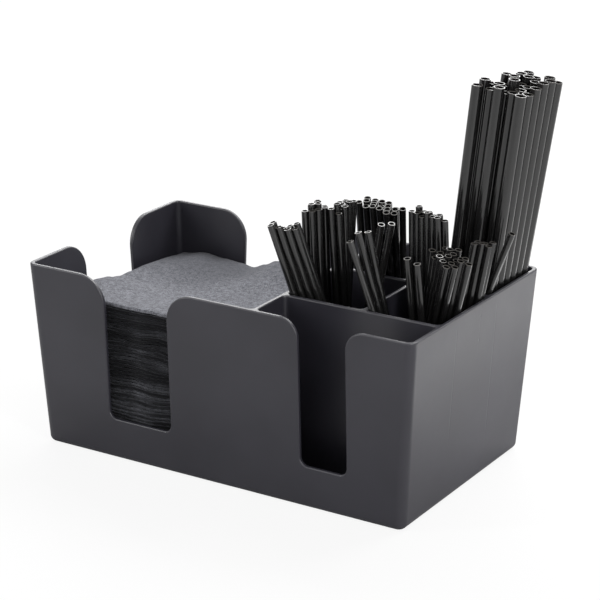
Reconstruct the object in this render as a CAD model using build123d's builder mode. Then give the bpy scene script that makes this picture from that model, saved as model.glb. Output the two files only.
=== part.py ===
"""Bar caddy: one moulded tray with six bays, filled with napkins and drinking straws.

Millimetres. X runs left to right along the long front, Y runs front to back and Z runs up.
The origin is the middle of the underside of the tray.
"""

import os
from math import atan2, cos, hypot, radians, sin, sqrt, tan

from build123d import *

os.makedirs("parts", exist_ok=True)

# ---- tray -------------------------------------------------------------------
LENGTH = 240.0  # over the rim, left to right
DEPTH = 143.7  # over the rim, front to back
HEIGHT = 105.5
END_LEAN = 6.5  # how far the left and right walls come in between rim and underside
SIDE_LEAN = 5.0  # the same for the front and back walls
WALL = 2.5
FLOOR = 2.5
CORNER_R = 5.0  # upright outer corners
FOOT_R = 4.0  # between the outer walls and the underside
RIM_R = 0.8  # on both sides of every rim and slot edge
OVERCUT = 1.0  # how far a cut starts before the face and ends behind it

# ---- bays, all measured at the rim ------------------------------------------
DIVIDER = 2.5  # thickness of each divider
DIVIDER_DRAFT = 0.25  # degrees on each face, thicker towards the floor
RIGHT_BAYS = 42.75  # clear width of the two bays along the right wall
LEFT_BAYS = 45.25  # clear width of the two bays beside the napkins
REAR_BAYS = 54.1  # clear depth of the two bays along the back wall
MIDDLE_BAYS = 52.1  # clear depth of the two bays before them
BAY_R = 3.0  # upright inner corners
BAY_FLOOR_R = 2.0  # between the bays' walls and the floor

# ---- slots in the outer walls -----------------------------------------------
NAPKIN_SLOT_LEFT = 71.3  # from the left rim to the middle of the front and back slots
NAPKIN_SLOT_WIDTH = 40.4
NAPKIN_FLARE_R = 16.5
SIDE_SLOT_WIDTH = 44.4  # in the middle of the left wall
FRONT_SLOT_RIGHT = 53.2  # from the right rim to the middle of the front bay's slot
FRONT_SLOT_WIDTH = 28.0
FRONT_FLARE_R = 11.0
SLOT_FLOOR_Z = 24.2
SLOT_CORNER_R = 4.5

# ---- napkins ----------------------------------------------------------------
NAPKIN_CLEARANCE = 3.85  # between the napkins and the nearer two walls, at the floor
NAPKINS = 40  # in the stack, below the top one
STACK_TOP = 74.5  # middle of the stack's top over the floor
STACK_SIDE = 0.55  # share of the spare length that the stack lies left of the bay's middle
STACK_RISE_X = 0.045  # slope of the top: it sags to the left
STACK_RISE_Y = -0.11  # and to the back
NAPKIN_GAP = 0.2  # left between two napkins at their nearest
NAPKIN_SHIFT = 0.6  # how far a napkin strays from the pile
TOP_NAPKIN = 2.4  # thickness of the loosely folded top one
TOP_WAVE = 1.2  # height of its waves
TOP_WAVES = 3
WAVE_STEPS = 8  # flats in one wave
REST = 0.3  # what lies loose is stored this far over its seat

# ---- straws -----------------------------------------------------------------
SHORT_STRAW = dict(length=146.0, diameter=3.7)
STIR_STRAW = dict(length=133.0, diameter=3.7)
LONG_STRAW = dict(length=210.0, diameter=6.0)
STRAW_WALL = 0.35
STRAW_SIDES = 12
ROW_STEP = sqrt(3) / 2  # between rows that nest in each other, in pitches

# foot and head are the middles of a sheaf's lower and upper ends, from the crossing of the small
# bays' dividers. A grid of columns and rows stands turned at the foot; at the head it is twisted
# on by that many degrees and spread.
SHEAVES = {
    "short_straws_far_left": dict(
        foot=(-11.3, -27.4), head=(-49.2, -52.2), columns=4, rows=2,
        pitch=4.16, spread=0.97, turn=19, twist=22,
    ),
    "short_straws_left": dict(
        foot=(-36.7, -28.7), head=(-41.8, -32.0), columns=2, rows=5,
        pitch=3.91, spread=1.06, turn=3, twist=1,
    ),
    "short_straws_middle": dict(
        foot=(-31.9, -18.0), head=(-31.9, -21.8), columns=2, rows=6,
        pitch=4.14, spread=1.02, turn=59, twist=-47,
    ),
    "crossed_straws": dict(
        foot=(-36.0, -7.0), head=(-2.1, -27.8), columns=2, rows=1,
        pitch=4.53, spread=1.18, turn=-45, twist=61,
    ),
    "short_straws_rear": dict(
        foot=(-33.4, 36.2), head=(-20.7, -0.6), columns=5, rows=4,
        pitch=4.29, spread=1.05, turn=34, twist=-40,
    ),
    "stir_straws_front": dict(
        foot=(12.1, -21.4), head=(36.4, -28.9), columns=5, rows=4,
        pitch=4.01, spread=1.11, turn=-78, twist=41, straw=STIR_STRAW,
    ),
    "stir_straws_side": dict(
        foot=(29.8, -30.7), head=(24.7, -48.3), columns=2, rows=1,
        pitch=5.09, spread=1.13, turn=-17, twist=13, straw=STIR_STRAW,
    ),
    "stir_straws_wall": dict(
        foot=(24.9, -19.1), head=(42.4, -4.1), columns=3, rows=2,
        pitch=3.99, spread=0.96, turn=49, twist=-22, straw=STIR_STRAW,
    ),
    "leaning_straws": dict(
        foot=(30.6, -36.4), head=(-6.0, -49.6), columns=3, rows=1,
        pitch=4.54, spread=1.37, turn=-30, twist=-76,
    ),
    "short_straws_rear_right": dict(
        foot=(17.4, -6.7), head=(14.5, -13.0), columns=6, rows=2,
        pitch=3.94, spread=0.97, turn=-1, twist=-17,
    ),
    "stray_straw": dict(
        foot=(4.9, 6.6), head=(54.6, 4.7), columns=1, rows=1,
        pitch=3.90, spread=1.00, turn=0, twist=0,
    ),
    "long_straws": dict(
        foot=(17.0, 28.9), head=(39.7, 37.0), columns=6, rows=5,
        pitch=6.20, spread=1.22, turn=91, twist=-5, straw=LONG_STRAW,
    ),
}

small_divider_x = LENGTH / 2 - WALL - RIGHT_BAYS - DIVIDER / 2
napkin_divider_x = small_divider_x - LEFT_BAYS - DIVIDER
rear_divider_y = DEPTH / 2 - WALL - REAR_BAYS - DIVIDER / 2
front_divider_y = rear_divider_y - MIDDLE_BAYS - DIVIDER
lean_share = (HEIGHT - FLOOR) / HEIGHT
bay_left = -LENGTH / 2 + WALL + END_LEAN * lean_share
bay_right = napkin_divider_x - DIVIDER / 2 - (HEIGHT - FLOOR) * tan(radians(DIVIDER_DRAFT))
bay_depth = DEPTH - 2 * (WALL + SIDE_LEAN * lean_share)
napkin_side = min(bay_right - bay_left, bay_depth) - 2 * NAPKIN_CLEARANCE
stack_x = (bay_left + bay_right) / 2 - STACK_SIDE * (bay_right - bay_left - napkin_side) / 2


def leaning_block(length, depth, bottom_z, share):
    """A block from the rim down, its walls leaning in by that share of the tray's lean."""
    with BuildSketch(Plane.XY.offset(bottom_z)) as low:
        Rectangle(length - 2 * END_LEAN * share, depth - 2 * SIDE_LEAN * share)
    with BuildSketch(Plane.XY.offset(HEIGHT)) as high:
        Rectangle(length, depth)
    loft([low.sketch, high.sketch])


def upright(edge):
    return edge.bounding_box().size.Z > HEIGHT / 2


def cut_slot(plane, centre, width, flare_r, reach):
    """Cut an open-topped slot that widens into the rim, as far into the tray as reach."""
    with BuildSketch(plane) as outline:
        with Locations((centre, (SLOT_FLOOR_Z + HEIGHT) / 2)):
            Rectangle(width, HEIGHT - SLOT_FLOOR_Z)
        with Locations((centre, HEIGHT + 2 * flare_r)):
            Rectangle(width + 6 * flare_r, 4 * flare_r)
        fillet(outline.vertices().group_by(Axis.Y)[0], SLOT_CORNER_R)
        fillet(outline.vertices().group_by(Axis.Y)[-2], flare_r)
    extrude(outline.sketch, amount=-reach, mode=Mode.SUBTRACT)


def sheaf_axes(sheaf, length, diameter):
    """Foot and head of each straw: a tight grid at the floor opens and turns to another at the top."""
    low_turn = radians(sheaf["turn"])
    high_turn = low_turn + radians(sheaf["twist"])
    foot_middle = Vector(small_divider_x, rear_divider_y) + Vector(*sheaf["foot"])
    head_middle = Vector(small_divider_x, rear_divider_y) + Vector(*sheaf["head"])
    axes = []
    for row in range(sheaf["rows"]):
        for column in range(sheaf["columns"]):
            nested = (row % 2 - 0.5) / 2 if sheaf["rows"] > 1 else 0
            across = (column - (sheaf["columns"] - 1) / 2 + nested) * sheaf["pitch"]
            back = (row - (sheaf["rows"] - 1) / 2) * sheaf["pitch"] * ROW_STEP
            reach, way = hypot(across, back), atan2(back, across)
            foot = foot_middle + Vector(reach * cos(way + low_turn), reach * sin(way + low_turn))
            spread = reach * sheaf["spread"]
            head = head_middle + Vector(spread * cos(way + high_turn), spread * sin(way + high_turn))
            lean = (head - foot).length
            seat = Vector(0, 0, FLOOR + REST + diameter / 2 * lean / length)
            axes.append((foot + seat, head + seat + Vector(0, 0, sqrt(length**2 - lean**2))))
    return axes


def straw_bundle(name, axes, length, diameter):
    """Straight cut tubes, one on each axis."""
    with BuildPart() as bundle:
        for foot, head in axes:
            with BuildSketch(Plane(foot, z_dir=head - foot)):
                RegularPolygon(diameter / 2, STRAW_SIDES)
                RegularPolygon(diameter / 2 - STRAW_WALL, STRAW_SIDES, mode=Mode.SUBTRACT)
        extrude(amount=length)
    bundle.part.label = name
    export_step(bundle.part, f"parts/{name}.step")


with BuildPart() as bays:
    leaning_block(LENGTH - 2 * WALL, DEPTH - 2 * WALL, FLOOR, lean_share)
    with BuildSketch(Plane.XY.offset(HEIGHT)):
        with Locations((napkin_divider_x, 0)):
            Rectangle(DIVIDER, DEPTH)
        with Locations(((napkin_divider_x + LENGTH / 2) / 2, front_divider_y)):
            Rectangle(LENGTH / 2 - napkin_divider_x, DIVIDER)
        with Locations(((napkin_divider_x + LENGTH / 2) / 2, rear_divider_y)):
            Rectangle(LENGTH / 2 - napkin_divider_x, DIVIDER)
        with Locations((small_divider_x, (front_divider_y + DEPTH / 2) / 2)):
            Rectangle(DIVIDER, DEPTH / 2 - front_divider_y)
    extrude(amount=-(HEIGHT - FLOOR), taper=-DIVIDER_DRAFT, mode=Mode.SUBTRACT)
    fillet(bays.edges().filter_by(upright), BAY_R)
    fillet(bays.faces().filter_by(Axis.Z).group_by(Axis.Z)[0].edges(), BAY_FLOOR_R)

with BuildPart() as caddy_body:
    leaning_block(LENGTH, DEPTH, 0, 1)
    fillet(caddy_body.edges().filter_by(upright), CORNER_R)
    fillet(caddy_body.edges().group_by(Axis.Z)[0], FOOT_R)
    add(bays.part, mode=Mode.SUBTRACT)
    front, left = Plane.XZ.offset(DEPTH / 2 + OVERCUT), Plane.YZ.offset(-LENGTH / 2 - OVERCUT)
    both_walls = DEPTH + 2 * OVERCUT
    through = max(END_LEAN, SIDE_LEAN) + WALL + 2 * OVERCUT
    cut_slot(front, NAPKIN_SLOT_LEFT - LENGTH / 2, NAPKIN_SLOT_WIDTH, NAPKIN_FLARE_R, both_walls)
    cut_slot(front, LENGTH / 2 - FRONT_SLOT_RIGHT, FRONT_SLOT_WIDTH, FRONT_FLARE_R, through)
    cut_slot(left, 0, SIDE_SLOT_WIDTH, NAPKIN_FLARE_R, -through)
    fillet(caddy_body.faces().filter_by(Axis.Z).group_by(Axis.Z)[-1].edges(), RIM_R)
caddy_body.part.label = "caddy_body"
export_step(caddy_body.part, "parts/caddy_body.step")

with BuildPart() as napkin_stack:
    pitch = STACK_TOP / NAPKINS
    room = (abs(STACK_RISE_X) + abs(STACK_RISE_Y)) / NAPKINS * napkin_side / 2
    for layer in range(NAPKINS):
        share = layer / NAPKINS
        slip = NAPKIN_SHIFT * Vector(sin(2 * layer), cos(4 * layer))
        middle = Vector(stack_x, 0, FLOOR + REST + layer * pitch) + slip
        normal = Vector(-STACK_RISE_X * share, -STACK_RISE_Y * share, 1)
        with BuildSketch(Plane(middle, x_dir=(1, 0, STACK_RISE_X * share), z_dir=normal)):
            Rectangle(napkin_side, napkin_side)
        extrude(amount=pitch - room - NAPKIN_GAP)
napkin_stack.part.label = "napkin_stack"
export_step(napkin_stack.part, "parts/napkin_stack.step")

with BuildPart() as top_napkin:
    bed = Plane(
        (stack_x, 0, FLOOR + 2 * REST + STACK_TOP + TOP_WAVE),
        x_dir=(1, 0, STACK_RISE_X),
        z_dir=(-STACK_RISE_X, -STACK_RISE_Y, 1),
    )
    end = Plane(bed.from_local_coords(Vector(-napkin_side / 2, 0, 0)), x_dir=bed.y_dir, z_dir=bed.x_dir)
    steps = TOP_WAVES * WAVE_STEPS
    under = [
        (napkin_side * (k / steps - 0.5), TOP_WAVE * cos(radians(360 * k / WAVE_STEPS)))
        for k in range(steps + 1)
    ]
    over = [(along, height + TOP_NAPKIN) for along, height in under]
    with BuildSketch(end):
        with BuildLine():
            Polyline(*under, *reversed(over), close=True)
        make_face()
    extrude(amount=napkin_side)
top_napkin.part.label = "top_napkin"
export_step(top_napkin.part, "parts/top_napkin.step")

for name, sheaf in SHEAVES.items():
    straw = sheaf.get("straw", SHORT_STRAW)
    straw_bundle(name, sheaf_axes(sheaf, **straw), **straw)
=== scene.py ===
import bpy
from math import atan2, cos, exp, hypot, pi, radians, sin, sqrt
from mathutils import Matrix, Vector, noise


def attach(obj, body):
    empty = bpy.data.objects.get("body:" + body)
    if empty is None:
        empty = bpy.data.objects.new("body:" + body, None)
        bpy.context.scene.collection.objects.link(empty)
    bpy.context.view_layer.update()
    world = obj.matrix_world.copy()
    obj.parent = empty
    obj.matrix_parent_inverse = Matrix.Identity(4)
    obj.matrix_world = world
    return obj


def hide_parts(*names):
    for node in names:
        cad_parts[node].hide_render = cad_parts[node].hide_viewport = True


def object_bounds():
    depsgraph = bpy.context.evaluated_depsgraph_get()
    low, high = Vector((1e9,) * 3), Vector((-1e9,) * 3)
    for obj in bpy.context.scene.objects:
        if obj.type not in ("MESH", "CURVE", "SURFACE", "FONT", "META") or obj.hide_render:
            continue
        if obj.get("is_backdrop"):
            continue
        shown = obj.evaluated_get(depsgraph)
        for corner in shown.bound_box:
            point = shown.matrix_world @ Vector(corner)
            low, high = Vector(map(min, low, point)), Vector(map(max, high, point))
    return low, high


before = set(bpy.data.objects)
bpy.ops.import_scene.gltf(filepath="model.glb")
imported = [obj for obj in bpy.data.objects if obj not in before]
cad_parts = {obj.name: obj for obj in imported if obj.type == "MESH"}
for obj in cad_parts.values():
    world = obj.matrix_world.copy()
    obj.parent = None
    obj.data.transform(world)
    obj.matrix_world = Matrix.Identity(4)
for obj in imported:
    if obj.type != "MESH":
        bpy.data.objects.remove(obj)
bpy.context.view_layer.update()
print("frame loaded", len(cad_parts), "nodes")

mm = 0.001
scene = bpy.context.scene
scene.view_settings.view_transform = "Standard"


class Wire:  # an output socket; arithmetic on it adds Math nodes
    def __init__(self, desk, socket):
        self.desk = desk
        self.socket = socket

    def maths(self, operation, *values):
        return self.desk.add("ShaderNodeMath", {"operation": operation}, dict(enumerate(values)))

    def __add__(self, other):
        return self.maths("ADD", self, other)

    def __sub__(self, other):
        return self.maths("SUBTRACT", self, other)

    def __rsub__(self, other):
        return self.maths("SUBTRACT", other, self)

    def __mul__(self, other):
        return self.maths("MULTIPLY", self, other)

    def __truediv__(self, other):
        return self.maths("DIVIDE", self, other)

    __radd__ = __add__
    __rmul__ = __mul__

    def size(self):  # the value without its sign
        return self.maths("ABSOLUTE", self)

    def between(self, low, high):  # 0 at low, 1 at high, smooth in between and level beyond
        return self.desk.add("ShaderNodeMapRange", {"interpolation_type": "SMOOTHSTEP"},
                             {"Value": self, "From Min": low, "From Max": high})

    def near(self, centre, width):  # 1 at centre, fading to 0 at width away
        return (self - centre).size().between(width, 0)


class Desk:  # a node tree being built
    def __init__(self, tree):
        self.tree = tree

    def add(self, kind, settings=None, sockets=None, out=0):  # gives the new node's output
        node = self.tree.nodes.new(kind)
        for key, value in (settings or {}).items():
            setattr(node, key, value)
        for key, value in (sockets or {}).items():
            if isinstance(value, Wire):
                self.tree.links.new(value.socket, node.inputs[key])
            else:
                node.inputs[key].default_value = value
        return Wire(self, node.outputs[out]) if node.outputs else None

    def also(self, wire, name):  # another output of the same node
        return Wire(self, wire.socket.node.outputs[name])

    def axes(self, vector):
        first = self.add("ShaderNodeSeparateXYZ", {}, {0: vector})
        return first, self.also(first, "Y"), self.also(first, "Z")

    def blend(self, share, first, second):  # colours
        return self.add("ShaderNodeMix", {"data_type": "RGBA"}, {0: share, 6: first, 7: second}, 2)


def newMaterial(name):
    material = bpy.data.materials.new(name)
    material.use_nodes = True
    material.node_tree.nodes.clear()
    return material, Desk(material.node_tree)


def grey(value):
    return (value, value, value, 1)


# camera, lamps, world and floor
studio = {
    "cameraPlace": (0.603054, -0.970038, 0.485518),
    "azimuth": 31.40,
    "elevation": 19.31,
    "roll": 0.321,
    "lens": 132.67,
    "sensor": 36,
    "nearest": 0.05,  # what the camera sees starts and ends here
    "farthest": 30,
    "ambient": 0.34,
    "floorSide": 8.0,
    "floorWhite": 0.86,
    "floorRoughness": 0.7,
    "floorGlow": 0.88,  # how far the camera sees the floor as plain white
    "floorReflectedShade": 0.36,  # painted shade: how far reflections see the floor in the dark colour below, standing in for the object's shadow on it
    "shade": 0.02,
    "shadeRoughness": 0.9,
    "lamps": {  # place, aim, side lengths, power
        "top": ((0.15, 0.95, 1.2), (0, 0, 0.05), (1.2, 0.6), 18),
        "backLeft": ((-0.9, 0.8, 1.25), (0, 0, 0.1), (0.9, 0.45), 4),
        "rims": ((-0.8, 1.3, 0.58), (0, 0, 0.1), (0.8, 0.35), 5),  # glances off the upward edges
        # mirrored in the upper half of the right wall
        "low": ((0.21, 0.19, 0.02), (0.1, 0.19, 0.03), (0.36, 0.02), 0.085),
        "right": ((1.4, -0.7, 0.8), (0, 0, 0.1), (0.22, 1.2), 12),
        "frontLeft": ((-1.2, -1.2, 0.9), (0, 0, 0.1), (0.25, 1.0), 9),
    },
}

eye = bpy.data.cameras.new("camera")
eye.lens = studio["lens"]
eye.sensor_width = studio["sensor"]
eye.clip_start = studio["nearest"]
eye.clip_end = studio["farthest"]
cameraObject = bpy.data.objects.new("camera", eye)
scene.collection.objects.link(cameraObject)
cameraObject.matrix_world = (
    Matrix.Translation(studio["cameraPlace"])
    @ Matrix.Rotation(radians(studio["azimuth"]), 4, "Z")
    @ Matrix.Rotation(radians(90 - studio["elevation"]), 4, "X")
    @ Matrix.Rotation(radians(studio["roll"]), 4, "Z")
)
scene.camera = cameraObject

for name, (place, aim, (wide, high), power) in studio["lamps"].items():
    lamp = bpy.data.lights.new(name + "Lamp", "AREA")
    lamp.shape = "RECTANGLE"
    lamp.size = wide
    lamp.size_y = high
    lamp.energy = power
    lampObject = bpy.data.objects.new(name + "Lamp", lamp)
    scene.collection.objects.link(lampObject)
    turn = (Vector(aim) - Vector(place)).to_track_quat("-Z", "Y").to_matrix().to_4x4()
    lampObject.matrix_world = Matrix.Translation(place) @ turn
    lampObject.visible_camera = False

world = bpy.data.worlds.new("studio")
scene.world = world
world.use_nodes = True
world.node_tree.nodes.clear()
desk = Desk(world.node_tree)
ray = desk.add("ShaderNodeLightPath")
seen = ray.maths("MAXIMUM", desk.also(ray, "Is Camera Ray"), desk.also(ray, "Is Glossy Ray"))
seen = seen.maths("MAXIMUM", seen, desk.also(ray, "Is Transmission Ray"))
soft = desk.add("ShaderNodeBackground", {}, {"Color": grey(1), "Strength": studio["ambient"]})
white = desk.add("ShaderNodeBackground", {}, {"Color": grey(1), "Strength": 1.0})
mixed = desk.add("ShaderNodeMixShader", {}, {0: seen, 1: soft, 2: white})
desk.add("ShaderNodeOutputWorld", {}, {"Surface": mixed})

floorMesh = bpy.data.meshes.new("floor")
half = studio["floorSide"] / 2
corners = [(-half, -half, 0), (half, -half, 0), (half, half, 0), (-half, half, 0)]
floorMesh.from_pydata(corners, [], [(0, 1, 2, 3)])
floor = bpy.data.objects.new("floor", floorMesh)
scene.collection.objects.link(floor)
floor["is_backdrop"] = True
floorPaint, desk = newMaterial("paleFloor")
ray = desk.add("ShaderNodeLightPath")
pale = desk.add("ShaderNodeBsdfPrincipled", {}, {
    "Base Color": grey(studio["floorWhite"]), "Roughness": studio["floorRoughness"],
})
# painted shade: a dark floor for reflections only, in place of the object's shadow on the floor
reflectedShade = desk.add("ShaderNodeBsdfPrincipled", {}, {
    "Base Color": grey(studio["shade"]), "Roughness": studio["shadeRoughness"],
})
glow = desk.add("ShaderNodeEmission", {}, {"Color": grey(1), "Strength": 1.0})
reflectedShadeShare = desk.also(ray, "Is Glossy Ray") * studio["floorReflectedShade"]
body = desk.add("ShaderNodeMixShader", {}, {0: reflectedShadeShare, 1: pale, 2: reflectedShade})
seen = desk.also(ray, "Is Camera Ray") * studio["floorGlow"]
mixed = desk.add("ShaderNodeMixShader", {}, {0: seen, 1: body, 2: glow})
desk.add("ShaderNodeOutputMaterial", {}, {"Surface": mixed})
floorMesh.materials.append(floorPaint)
print("camera, lamps and floor set")

# the moulded tray; lengths in metres, cells are noise cells in a metre
caddy = {
    "colour": (0.0235, 0.0226, 0.030, 1),
    "colourWorn": (0.0305, 0.0295, 0.0385, 1),
    "worn": (0.35, 0.7),  # mottle at which the worn colour starts and is full
    "ior": 1.55,
    "roughness": 0.37,
    "mottleCells": 16,
    "mottleSpread": 0.1,  # how far the roughness varies with it
    "patchCells": 60,
    "patchSpread": 0.08,
    "grainCells": 2600,
    "grainDepth": 0.000012,
    "wallFrom": (0.108, 0.1085),  # lines and dots are on the right wall, beyond this x
    "lines": [  # moulding lines: y and z of the upper end and of the lower end, depth
        ((-0.0237, 0.098), (-0.0224, 0.030), 0.00007),
        ((0.0210, 0.0986), (0.0219, 0.017), 0.00007),
        ((0.0027, 0.1036), (0.0030, 0.0688), 0.00003),
    ],
    "lineWidth": 0.0006,  # to either side
    "lineFade": 0.02,  # how far above its lower end a line has its full depth
    "lineEnd": 0.001,
    "dots": [(0.0022, 0.0982), (0.0031, 0.0845)],  # y and z
    "dotSize": 0.0012,
    "dotDepth": 0.0001,
}


def caddyPlastic():
    material, desk = newMaterial("charcoalPlastic")
    place = desk.add("ShaderNodeTexCoord", {}, {}, "Object")
    x, y, z = desk.axes(place)
    mottle = desk.add("ShaderNodeTexNoise", {}, {
        "Vector": place, "Scale": caddy["mottleCells"], "Detail": 3, "Roughness": 0.55,
    })
    patch = desk.add("ShaderNodeTexNoise", {}, {
        "Vector": place, "Scale": caddy["patchCells"], "Detail": 5, "Roughness": 0.65,
    })
    grain = desk.add("ShaderNodeTexNoise", {}, {
        "Vector": place, "Scale": caddy["grainCells"], "Detail": 2,
    })
    colour = desk.blend(mottle.between(*caddy["worn"]), caddy["colour"], caddy["colourWorn"])
    rough = caddy["roughness"] + (mottle - 0.5) * caddy["mottleSpread"]
    rough = rough + (patch - 0.5) * caddy["patchSpread"]
    height = grain * caddy["grainDepth"]
    onRight = x.between(*caddy["wallFrom"])
    for (topY, topZ), (bottomY, bottomZ), depth in caddy["lines"]:
        middle = bottomY + (z - bottomZ) * ((topY - bottomY) / (topZ - bottomZ))
        line = (y - middle).near(0, caddy["lineWidth"]) * z.between(bottomZ, bottomZ + caddy["lineFade"])
        line = line * z.between(topZ + caddy["lineEnd"], topZ) * onRight
        height = height - line * depth
    for dotY, dotZ in caddy["dots"]:
        dot = y.near(dotY, caddy["dotSize"]) * z.near(dotZ, caddy["dotSize"]) * onRight
        height = height - dot * caddy["dotDepth"]
    bump = desk.add("ShaderNodeBump", {}, {"Strength": 1.0, "Distance": 1.0, "Height": height})
    skin = desk.add("ShaderNodeBsdfPrincipled", {}, {
        "Base Color": colour, "Roughness": rough, "IOR": caddy["ior"], "Normal": bump,
    })
    desk.add("ShaderNodeOutputMaterial", {}, {"Surface": skin})
    return material


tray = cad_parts["caddy_body"]
tray.data.materials.clear()
tray.data.materials.append(caddyPlastic())
print("caddy finished")

# the pile of folded napkins and the loose one on it
napkin = {
    "side": 121.2 * mm,
    "pitch": 74.5 / 40 * mm,  # height of the pile over the number of its napkins
    "count": 40,
    "ply": 0.42 * mm,  # between the four layers of a folded one
    "pileX": -47.4 * mm,
    "rest": 2.8 * mm,  # underside of the pile
    "riseX": 0.045,  # slope of the pile's top
    "riseY": -0.11,
    "shift": 0.6 * mm,  # how far a napkin strays from the pile, and how far it turns
    "turn": radians(0.4),
    "seed": 4,
    "spans": 20,
    "topSpans": 60,
    "topPly": 0.5 * mm,
    "topThickness": 0.22 * mm,
    "topGap": 0.5 * mm,
    # how far the top stands above its plane along each edge, at stops along it, all in millimetres
    "backEdge": [
        (-110, 5.5), (-106, 6.6), (-92, 8.8), (-78, 7.1), (-66, 5.4), (-58, 3.6),
        (-50, 6.1), (-42, 9.4), (-32, 10.5), (-15, 8), (0, 5), (14, 4),
    ],
    "leftEdge": [
        (-61, 3), (-45, 5.6), (-32, 6.4), (-26, 6.7), (-17, 6.1),
        (-8, 4.2), (-2, 3.5), (6, 4.4), (25, 5.8), (61, 5.5),
    ],
    "frontEdge": [
        (-108, 2.2), (-78, 2.3), (-69, 2.8), (-55, 3.4), (-47, 3.5), (-36, 2.2),
        (-20, 1.2), (0, 2), (14, 2.4),
    ],
    "edgeX": -108,  # of the left edge
    "edgeY": 61,  # of the back edge, and of the front one with a minus
    "backReach": 32,  # how far into the top an edge's waves reach
    "leftReach": 34,
    "frontReach": 30,
    "slant": 0.3,  # the waves run aslant from the back edge
    "sag": 2.5,  # how fast the waves fade down the pile, as a power of the height share
    "ripple": 2.2 * mm,
    "rippleCells": 24.0,
    "ripplePlace": (3.1, 0.4),  # where the ripple's pattern is cut from the noise
    "flutter": 3.4 * mm,  # how far the layers part along the edges
    "flutterCells": (52, 52, 70),
    "flutterFrom": 6 * mm,  # full from this height
    "flutterFade": 6,  # none at the very top, as a power of the height share
    "creep": 0.6 * mm,  # in and out of the napkins' edges
    "creepCells": 75.0,
    "creepStep": 7.3,  # from one napkin's pattern to the next one's
    "colour": (0.27, 0.275, 0.305, 1),
    # dark flecks, and the painted shade at the back and the corner panel
    "colourFleckAndShade": (0.08, 0.082, 0.094, 1),
    "colourSideShade": (0.008, 0.008, 0.0098, 1),
    "shade": 0.75,  # painted shade: how far the paper goes to the dark colour at the back and at the corner panel, where less light falls
    "shadeY": (-0.01, 0.055),  # where the shade at the corner panel starts and is full
    "shadeX": (-0.045, -0.085),
    "shadeSlant": 0.6,
    "backShade": 0.8,  # the same along the back edge
    "backShadeY": (0.02, 0.06),
    "sideShadeDepth": 2.5 * mm,  # painted shade: the pile's sides darker than the top, as they lie in shade
    "fibreCells": 1500,
    "fibreDepth": 0.0002,
    "fibreShare": 0.6,
    "cloudCells": 420,
    "cloudDepth": 0.0003,
    "cloudShare": 0.4,
    "fleck": (0.4, 0.6),  # fibre and cloud at which the paper's colour is dark and pale
    "bumpStrength": 0.8,
    "finish": {
        "Roughness": 0.92, "Sheen Weight": 0.08, "Sheen Roughness": 0.5, "Specular IOR Level": 0.1,
    },
}


def foldedNapkin(name, side, ply, spans):  # a square sheet folded left to right, then front to back
    def leaf(step, radius):  # place and height of a row of points; step 0 is the middle of the fold
        sign = -1 if step < 0 else 1
        if abs(step) <= 1:
            angle = abs(step) * pi / 3
            return radius * (1 - cos(angle)), sign * radius * sin(angle)
        if abs(step) == 2:
            return radius, sign * radius
        return radius + (side - radius) * (abs(step) - 2) / spans, sign * radius

    steps = list(range(-spans - 2, spans + 3))
    verts = []
    for j in steps:
        for k in steps:
            x, low = leaf(k, ply / 2)
            layer = low + ply / 2  # 0 for the lower leaf, ply for the upper
            y, up = leaf(j, 1.5 * ply - layer)
            # the upper leaf's second fold lies inside the lower one's, one ply further in
            y = y + layer if abs(j) <= 2 else y + layer * (side - y) / side
            verts.append((x - side / 2, y - side / 2, up + 1.5 * ply))
    wide = len(steps)
    faces = [(r * wide + c, r * wide + c + 1, (r + 1) * wide + c + 1, (r + 1) * wide + c)
             for r in range(wide - 1) for c in range(wide - 1)]
    mesh = bpy.data.meshes.new(name)
    mesh.from_pydata(verts, [], faces)
    mesh.shade_smooth()
    mesh.update()
    return mesh


def napkinPaper(name, shadedSides):
    material, desk = newMaterial(name)
    place = desk.add("ShaderNodeTexCoord", {}, {}, "Object")
    fibre = desk.add("ShaderNodeTexNoise", {}, {
        "Vector": place, "Scale": napkin["fibreCells"], "Detail": 3, "Roughness": 0.7,
    })
    cloud = desk.add("ShaderNodeTexNoise", {}, {
        "Vector": place, "Scale": napkin["cloudCells"], "Detail": 4, "Roughness": 0.75,
    })
    fleck = fibre * napkin["fibreShare"] + cloud * napkin["cloudShare"]
    colour = desk.blend(fleck.between(*napkin["fleck"]), napkin["colourFleckAndShade"], napkin["colour"])
    x, y, _ = desk.axes(place)
    # painted shade: the paper darkens towards the back edge and the corner panel, where less light falls
    corner = y.between(*napkin["shadeY"]) * (x - y * napkin["shadeSlant"]).between(*napkin["shadeX"])
    back = y.between(*napkin["backShadeY"]) * napkin["backShade"]
    deep = corner.maths("MAXIMUM", corner, back) * napkin["shade"]
    colour = desk.blend(deep, colour, napkin["colourFleckAndShade"])
    # painted shade: the pile's sides go to a near-black colour
    if shadedSides:
        inX = napkin["side"] / 2 - (x - napkin["pileX"]).size()
        inY = napkin["side"] / 2 - y.size()
        inside = inX.maths("MINIMUM", inX, inY).between(0, napkin["sideShadeDepth"])
        colour = desk.blend(inside, napkin["colourSideShade"], colour)
    height = fibre * napkin["fibreDepth"] + cloud * napkin["cloudDepth"]
    bump = desk.add("ShaderNodeBump", {}, {
        "Strength": napkin["bumpStrength"], "Distance": 1.0, "Height": height,
    })
    skin = desk.add("ShaderNodeBsdfPrincipled", {}, {
        "Base Color": colour, "Normal": bump, **napkin["finish"],
    })
    desk.add("ShaderNodeOutputMaterial", {}, {"Surface": skin})
    return material


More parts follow.
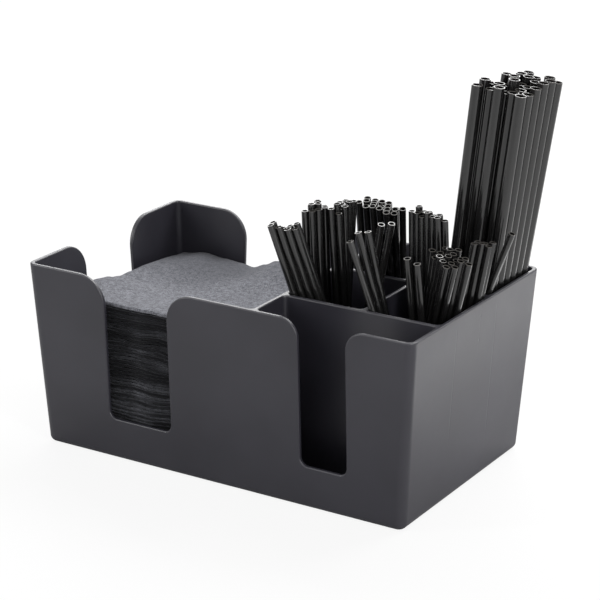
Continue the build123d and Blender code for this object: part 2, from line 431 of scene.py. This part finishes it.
def newTree(name, inputs):  # a geometry tree with named inputs: the tree, its desk, its input wires
    tree = bpy.data.node_groups.new(name, "GeometryNodeTree")
    tree.interface.new_socket("Geometry", in_out="INPUT", socket_type="NodeSocketGeometry")
    tree.interface.new_socket("Geometry", in_out="OUTPUT", socket_type="NodeSocketGeometry")
    for key, kind in inputs.items():
        tree.interface.new_socket(key, in_out="INPUT", socket_type="NodeSocket" + kind)
    desk = Desk(tree)
    first = desk.add("NodeGroupInput")
    return tree, desk, {key: desk.also(first, key) for key in ["Geometry", *inputs]}


def runTree(name, mesh, tree, values):  # the tree's result on mesh, as a plain mesh object
    piece = bpy.data.objects.new(name, mesh)
    scene.collection.objects.link(piece)
    modifier = piece.modifiers.new("tree", "NODES")
    modifier.node_group = tree
    sockets = {
        item.name: item.identifier for item in tree.interface.items_tree if item.in_out == "INPUT"
    }
    for key, value in values.items():
        modifier[sockets[key]] = value
    evaluated = piece.evaluated_get(bpy.context.evaluated_depsgraph_get())
    result = bpy.data.meshes.new_from_object(evaluated)
    result.name = name
    piece.modifiers.clear()
    piece.data = result
    return piece


def pileTree():  # copies of one napkin, each a little turned and shifted
    tree, desk, given = newTree("napkinPile", {
        "Count": "Int", "Pitch": "Float", "Shift": "Float", "Turn": "Float", "Seed": "Int",
        "Paper": "Material",
    })
    step = desk.add("ShaderNodeCombineXYZ", {}, {"Z": given["Pitch"]})
    line = desk.add("GeometryNodeMeshLine", {"mode": "OFFSET"}, {"Count": given["Count"], "Offset": step})
    spin = desk.add("FunctionNodeRandomValue", {"data_type": "FLOAT"},
                    {2: given["Turn"] * -1, 3: given["Turn"], "Seed": given["Seed"]}, 1)
    turn = desk.add("ShaderNodeCombineXYZ", {}, {"Z": spin})
    layers = desk.add("GeometryNodeInstanceOnPoints", {}, {
        "Points": line, "Instance": given["Geometry"], "Rotation": turn,
    })
    aside = given["Shift"]
    low = desk.add("ShaderNodeCombineXYZ", {}, {"X": aside * -1, "Y": aside * -1})
    high = desk.add("ShaderNodeCombineXYZ", {}, {"X": aside, "Y": aside})
    slip = desk.add("FunctionNodeRandomValue", {"data_type": "FLOAT_VECTOR"},
                    {0: low, 1: high, "Seed": given["Seed"] + 1}, 0)
    layers = desk.add("GeometryNodeTranslateInstances", {}, {
        "Instances": layers, "Translation": slip, "Local Space": False,
    })
    sheets = desk.add("GeometryNodeRealizeInstances", {}, {"Geometry": layers})
    sheets = desk.add("GeometryNodeSetMaterial", {}, {"Geometry": sheets, "Material": given["Paper"]})
    desk.add("NodeGroupOutput", {}, {"Geometry": sheets})
    return tree


def along(stops, place):  # the value at a place in a list of stops, smooth between them
    if place <= stops[0][0]:
        return stops[0][1]
    for (here, value), (there, after) in zip(stops, stops[1:]):
        if place < there:
            share = (place - here) / (there - here)
            return value + (after - value) * share * share * (3 - 2 * share)
    return stops[-1][1]


def wave(x, y, share):  # how far the napkins bulge at a share of the pile's height, metres
    x, y = x / mm, y / mm
    fromBack = napkin["edgeY"] - y
    back = exp(-(fromBack / napkin["backReach"]) ** 2)
    left = exp(-((x - napkin["edgeX"]) / napkin["leftReach"]) ** 2)
    front = exp(-((y + napkin["edgeY"]) / napkin["frontReach"]) ** 2)
    rise = front * along(napkin["frontEdge"], x)
    rise = left * along(napkin["leftEdge"], y) + (1 - left) * rise
    rise = back * along(napkin["backEdge"], x - napkin["slant"] * fromBack) + (1 - back) * rise
    cells = napkin["rippleCells"]
    startX, level = napkin["ripplePlace"]
    ripple = noise.noise(Vector((x * mm * cells + startX, y * mm * cells, level))) * napkin["ripple"]
    return (rise * mm + ripple) * share ** napkin["sag"]


def lieDown(mesh, top):  # moves a flat pile, or the loose napkin at its top, to its place and shape
    height = napkin["pitch"] * napkin["count"]
    wide, deep, tall = napkin["flutterCells"]
    for vertex in mesh.vertices:
        x, y, z = vertex.co
        x += napkin["pileX"]
        share = 1.0 if top else min(z / height, 1)
        layer = napkin["count"] if top else int(z / napkin["pitch"] + 0.01)
        at = Vector((x * napkin["creepCells"], y * napkin["creepCells"], layer * napkin["creepStep"]))
        creep = noise.noise_vector(at) * napkin["creep"]
        flutter = 0.0
        if not top:  # the layers part and close up along the edges
            flutter = noise.noise(Vector((x * wide, y * deep, z * tall))) * napkin["flutter"]
            flutter *= min(z / napkin["flutterFrom"], 1) * (1 - share ** napkin["flutterFade"])
        slope = napkin["riseX"] * (x - napkin["pileX"]) + napkin["riseY"] * y
        z += share * slope + wave(x, y, share)
        vertex.co = (x + creep.x, y + creep.y, z + flutter + napkin["rest"])
    mesh.update()


noise.seed_set(napkin["seed"])  # without it noise_vector differs from run to run
single = foldedNapkin("foldedNapkin", napkin["side"], napkin["ply"], napkin["spans"])
pile = runTree("napkinPile", single, pileTree(), {
    "Count": napkin["count"], "Pitch": napkin["pitch"], "Shift": napkin["shift"], "Turn": napkin["turn"],
    "Seed": napkin["seed"], "Paper": napkinPaper("blackTissuePile", True),
})
lieDown(pile.data, False)
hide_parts("napkin_stack")
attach(pile, "napkins")
print("pile of napkins", len(pile.data.polygons), "faces")

looseMesh = foldedNapkin("looseNapkin", napkin["side"], napkin["topPly"], napkin["topSpans"])
loose = bpy.data.objects.new("looseNapkin", looseMesh)
scene.collection.objects.link(loose)
lieDown(looseMesh, True)
overPile = napkin["pitch"] * napkin["count"] + napkin["topGap"]
looseMesh.transform(Matrix.Translation((0, 0, overPile)))
looseMesh.materials.append(napkinPaper("blackTissue", False))
thick = loose.modifiers.new("thickness", "SOLIDIFY")
thick.thickness = napkin["topThickness"]
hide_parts("top_napkin")
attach(loose, "loose_napkin")
print("loose napkin", len(looseMesh.polygons), "faces")

# all straws; lengths in millimetres
straw = {
    "floor": 2.8,  # what they stand on
    "short": (146.0, 3.7),  # length and diameter
    "stir": (133.0, 3.7),
    "long": (210.0, 6.0),
    "wall": 0.35,
    "sides": 20,
    "scatter": 0.014,  # how far lengths vary, as a share
    "crease": radians(40),  # edges that bend more look sharp
    "colour": (0.007, 0.007, 0.0073, 1),
    "colourPale": (0.014, 0.0135, 0.013, 1),
    "colourLipHighlight": (0.09, 0.083, 0.076, 1),
    "lip": 0.0022,  # share of the length at each end painted paler, a painted highlight where the cut edge catches light
    "ior": 1.75,
    "roughness": 0.17,
    "wearSpread": 0.16,  # how far the roughness varies along a straw, and from straw to straw
    "toneSpread": 0.08,
    "toneShare": 0.5,  # how far tone and streaks go to the pale colour
    "streakShare": 0.4,
    "streakStretch": 0.6,  # noise cells along a straw for one across
    "streakStep": 40,  # from one straw's pattern to another's
    "streakDepth": 0.00002,
    "bumpStrength": 0.3,
}
crossing = (73.5, 14.0)  # of the small bays' dividers; the sheaves are placed from it
sheaves = {  # straw, middles at the floor and at the top, columns, rows, pitch, spread, turn, twist
    "short_straws_far_left": ("short", (-11.3, -27.4), (-49.2, -52.2), 4, 2, 4.16, 0.97, 19, 22),
    "short_straws_left": ("short", (-36.7, -28.7), (-41.8, -32.0), 2, 5, 3.91, 1.06, 3, 1),
    "short_straws_middle": ("short", (-31.9, -18.0), (-31.9, -21.8), 2, 6, 4.14, 1.02, 59, -47),
    "crossed_straws": ("short", (-36.0, -7.0), (-2.1, -27.8), 2, 1, 4.53, 1.18, -45, 61),
    "short_straws_rear": ("short", (-33.4, 36.2), (-20.7, -0.6), 5, 4, 4.29, 1.05, 34, -40),
    "stir_straws_front": ("stir", (12.1, -21.4), (36.4, -28.9), 5, 4, 4.01, 1.11, -78, 41),
    "stir_straws_side": ("stir", (29.8, -30.7), (24.7, -48.3), 2, 1, 5.09, 1.13, -17, 13),
    "stir_straws_wall": ("stir", (24.9, -19.1), (42.4, -4.1), 3, 2, 3.99, 0.96, 49, -22),
    "leaning_straws": ("short", (30.6, -36.4), (-6.0, -49.6), 3, 1, 4.54, 1.37, -30, -76),
    "short_straws_rear_right": ("short", (17.4, -6.7), (14.5, -13.0), 6, 2, 3.94, 0.97, -1, -17),
    "stray_straw": ("short", (4.9, 6.6), (54.6, 4.7), 1, 1, 3.90, 1.00, 0, 0),
    "long_straws": ("long", (17.0, 28.9), (39.7, 37.0), 6, 5, 6.20, 1.22, 91, -5),
}


def strawAxes(length, diameter, foot, head, columns, rows, pitch, spread, turn, twist):
    axes = []  # where each straw starts, in metres, and where it points
    for row in range(rows):
        for column in range(columns):
            stagger = row % 2 / 2 - (0.25 if rows > 1 else 0)
            across = (column - (columns - 1) / 2 + stagger) * pitch
            back = (row - (rows - 1) / 2) * pitch * sqrt(3) / 2
            reach, way = hypot(across, back), atan2(back, across)
            low, high = way + radians(turn), way + radians(turn + twist)
            x0 = crossing[0] + foot[0] + reach * cos(low)
            y0 = crossing[1] + foot[1] + reach * sin(low)
            x1 = crossing[0] + head[0] + reach * spread * cos(high)
            y1 = crossing[1] + head[1] + reach * spread * sin(high)
            lean = hypot(x1 - x0, y1 - y0)
            seat = straw["floor"] + diameter / 2 * lean / length
            start = Vector((x0, y0, seat)) * mm
            aim = Vector((x1 - x0, y1 - y0, sqrt(length**2 - lean**2))).normalized()
            axes.append((start, aim))
    return axes


def strawTree():  # a tube on each point, along the point's aim
    tree, desk, given = newTree("strawSheaf", {
        "Length": "Float", "Diameter": "Float", "Wall": "Float", "Sides": "Int", "Scatter": "Float",
        "Crease": "Float", "Seed": "Int", "Plastic": "Material",
    })
    ring = desk.add("GeometryNodeCurvePrimitiveCircle", {"mode": "RADIUS"}, {
        "Resolution": given["Sides"], "Radius": given["Diameter"] / 2 - given["Wall"] / 2,
    })
    section = desk.add("GeometryNodeCurvePrimitiveQuadrilateral", {"mode": "RECTANGLE"}, {
        "Width": given["Wall"], "Height": given["Length"],
    })
    tube = desk.add("GeometryNodeCurveToMesh", {}, {"Curve": ring, "Profile Curve": section})
    x, y, z = desk.axes(desk.add("GeometryNodeInputPosition"))
    tube = desk.add("GeometryNodeStoreNamedAttribute", {"data_type": "FLOAT", "domain": "POINT"}, {
        "Geometry": tube, "Name": "alongStraw", "Value": z / given["Length"] + 0.5,
    })
    around = desk.add("ShaderNodeCombineXYZ", {}, {"X": x / given["Diameter"], "Y": y / given["Diameter"]})
    tube = desk.add("GeometryNodeStoreNamedAttribute", {"data_type": "FLOAT_VECTOR", "domain": "POINT"}, {
        "Geometry": tube, "Name": "aroundStraw", "Value": around,
    })
    lift = desk.add("ShaderNodeCombineXYZ", {}, {"Z": given["Length"] / 2})
    tube = desk.add("GeometryNodeTransform", {}, {"Geometry": tube, "Translation": lift})
    bend = desk.add("GeometryNodeInputMeshEdgeAngle")
    smooth = bend.maths("LESS_THAN", bend, given["Crease"])
    for domain, value in (("FACE", True), ("EDGE", smooth)):
        tube = desk.add("GeometryNodeSetShadeSmooth", {"domain": domain}, {
            "Geometry": tube, "Shade Smooth": value,
        })
    aim = desk.add("GeometryNodeInputNamedAttribute", {"data_type": "FLOAT_VECTOR"}, {"Name": "aim"})
    lean = desk.add("FunctionNodeAlignRotationToVector", {"axis": "Z"}, {"Vector": aim})
    size = desk.add("FunctionNodeRandomValue", {"data_type": "FLOAT"},
                    {2: 1 - given["Scatter"], 3: 1 + given["Scatter"], "Seed": given["Seed"] + 7}, 1)
    scale = desk.add("ShaderNodeCombineXYZ", {}, {"X": 1.0, "Y": 1.0, "Z": size})
    straws = desk.add("GeometryNodeInstanceOnPoints", {}, {
        "Points": given["Geometry"], "Instance": tube, "Rotation": lean, "Scale": scale,
    })
    tone = desk.add("FunctionNodeRandomValue", {"data_type": "FLOAT"},
                    {2: 0.0, 3: 1.0, "Seed": given["Seed"]}, 1)
    straws = desk.add("GeometryNodeStoreNamedAttribute", {"data_type": "FLOAT", "domain": "INSTANCE"}, {
        "Geometry": straws, "Name": "tone", "Value": tone,
    })
    straws = desk.add("GeometryNodeRealizeInstances", {}, {"Geometry": straws})
    straws = desk.add("GeometryNodeSetMaterial", {}, {"Geometry": straws, "Material": given["Plastic"]})
    desk.add("NodeGroupOutput", {}, {"Geometry": straws})
    return tree


def strawPlastic():
    material, desk = newMaterial("blackStraw")
    upStraw = desk.add("ShaderNodeAttribute", {"attribute_name": "alongStraw"}, {}, "Fac")
    tone = desk.add("ShaderNodeAttribute", {"attribute_name": "tone"}, {}, "Fac")
    around = desk.add("ShaderNodeAttribute", {"attribute_name": "aroundStraw"}, {}, "Vector")
    # painted highlight: the cut ends paler, as the thin wall catches light
    lip = (upStraw - 0.5).size().between(0.5 - straw["lip"], 0.5 - straw["lip"] / 2)
    x, y, _ = desk.axes(around)
    wrap = desk.add("ShaderNodeCombineXYZ", {}, {
        "X": x, "Y": y, "Z": upStraw * straw["streakStretch"] + tone * straw["streakStep"],
    })
    streak = desk.add("ShaderNodeTexNoise", {}, {"Vector": wrap, "Scale": 9, "Detail": 2})
    wear = desk.add("ShaderNodeTexNoise", {}, {
        "Vector": wrap, "Scale": 3, "Detail": 3, "Roughness": 0.6,
    })
    paleness = tone * straw["toneShare"] + streak * straw["streakShare"]
    colour = desk.blend(paleness, straw["colour"], straw["colourPale"])
    colour = desk.blend(lip, colour, straw["colourLipHighlight"])
    rough = straw["roughness"] + (wear - 0.5) * straw["wearSpread"] + (tone - 0.5) * straw["toneSpread"]
    bump = desk.add("ShaderNodeBump", {}, {
        "Strength": straw["bumpStrength"], "Distance": 1.0, "Height": streak * straw["streakDepth"],
    })
    skin = desk.add("ShaderNodeBsdfPrincipled", {}, {
        "Base Color": colour, "Roughness": rough, "IOR": straw["ior"], "Normal": bump,
    })
    desk.add("ShaderNodeOutputMaterial", {}, {"Surface": skin})
    return material


plastic = strawPlastic()
sheafTree = strawTree()
for number, (name, (kind, *grid)) in enumerate(sheaves.items()):
    length, diameter = straw[kind]
    starts, aims = zip(*strawAxes(length, diameter, *grid))
    feet = bpy.data.meshes.new(name + "_feet")
    feet.from_pydata(starts, [], [])
    pointing = feet.attributes.new("aim", "FLOAT_VECTOR", "POINT")
    for item, aim in zip(pointing.data, aims):
        item.vector = aim
    words = name.split("_")
    piece = runTree(words[0] + "".join(word.title() for word in words[1:]), feet, sheafTree, {
        "Length": length * mm, "Diameter": diameter * mm, "Wall": straw["wall"] * mm,
        "Sides": straw["sides"], "Scatter": straw["scatter"], "Crease": straw["crease"],
        "Seed": number, "Plastic": plastic,
    })
    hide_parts(name)
    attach(piece, name + "_body")
    print(name, len(starts), "straws", len(piece.data.polygons), "faces")

low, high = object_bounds()
